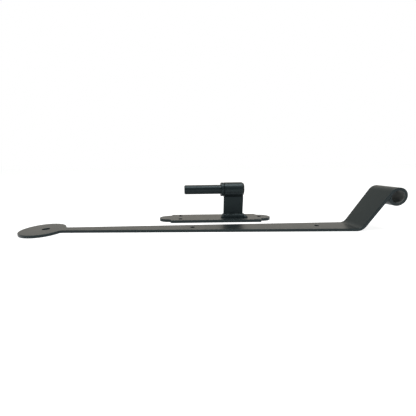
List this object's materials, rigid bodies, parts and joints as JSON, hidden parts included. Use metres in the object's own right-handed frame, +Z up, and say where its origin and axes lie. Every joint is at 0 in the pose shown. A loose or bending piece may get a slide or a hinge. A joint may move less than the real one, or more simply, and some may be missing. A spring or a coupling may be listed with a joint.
{
  "type": "strap hinge set",
  "caption": "Black strap hinge with a round end, a set-up bend and a rolled eye, lying beside the plate pintle it hangs on.",
  "frame": {"origin": "centre of the whole set's footprint, at the height both parts lie on", "axes": "+X along the strap from its round end to its eye; +Y from the strap towards the pintle; +Z up, away from the faces that are screwed down"},
  "size_m": [0.441, 0.088, 0.0524],
  "materials": {
    "coated_steel": "satin black powder coat",
    "coated_weld": "satin black powder coat over a weld bead"
  },
  "bodies": {
    "pintle": {"pintle_plate": "coated_steel", "pintle_leg": "coated_steel", "pintle_pin": "coated_steel", "pin_collar": "coated_steel", "pin_end_weld": "coated_weld", "foot_weld_front": "coated_weld", "foot_weld_back": "coated_weld", "foot_weld_left": "coated_weld", "foot_weld_right": "coated_weld"},
    "strap": {"strap": "coated_steel", "eye_weld": "coated_weld"}
  },
  "joints": [
    {"name": "strap_swing", "type": "hinge", "parent": "pintle", "child": "strap", "pos_m": [0.2103, -0.0193, 0.0392], "axis": [0, 1, 0], "range_deg": [0, 180]}
  ]
}
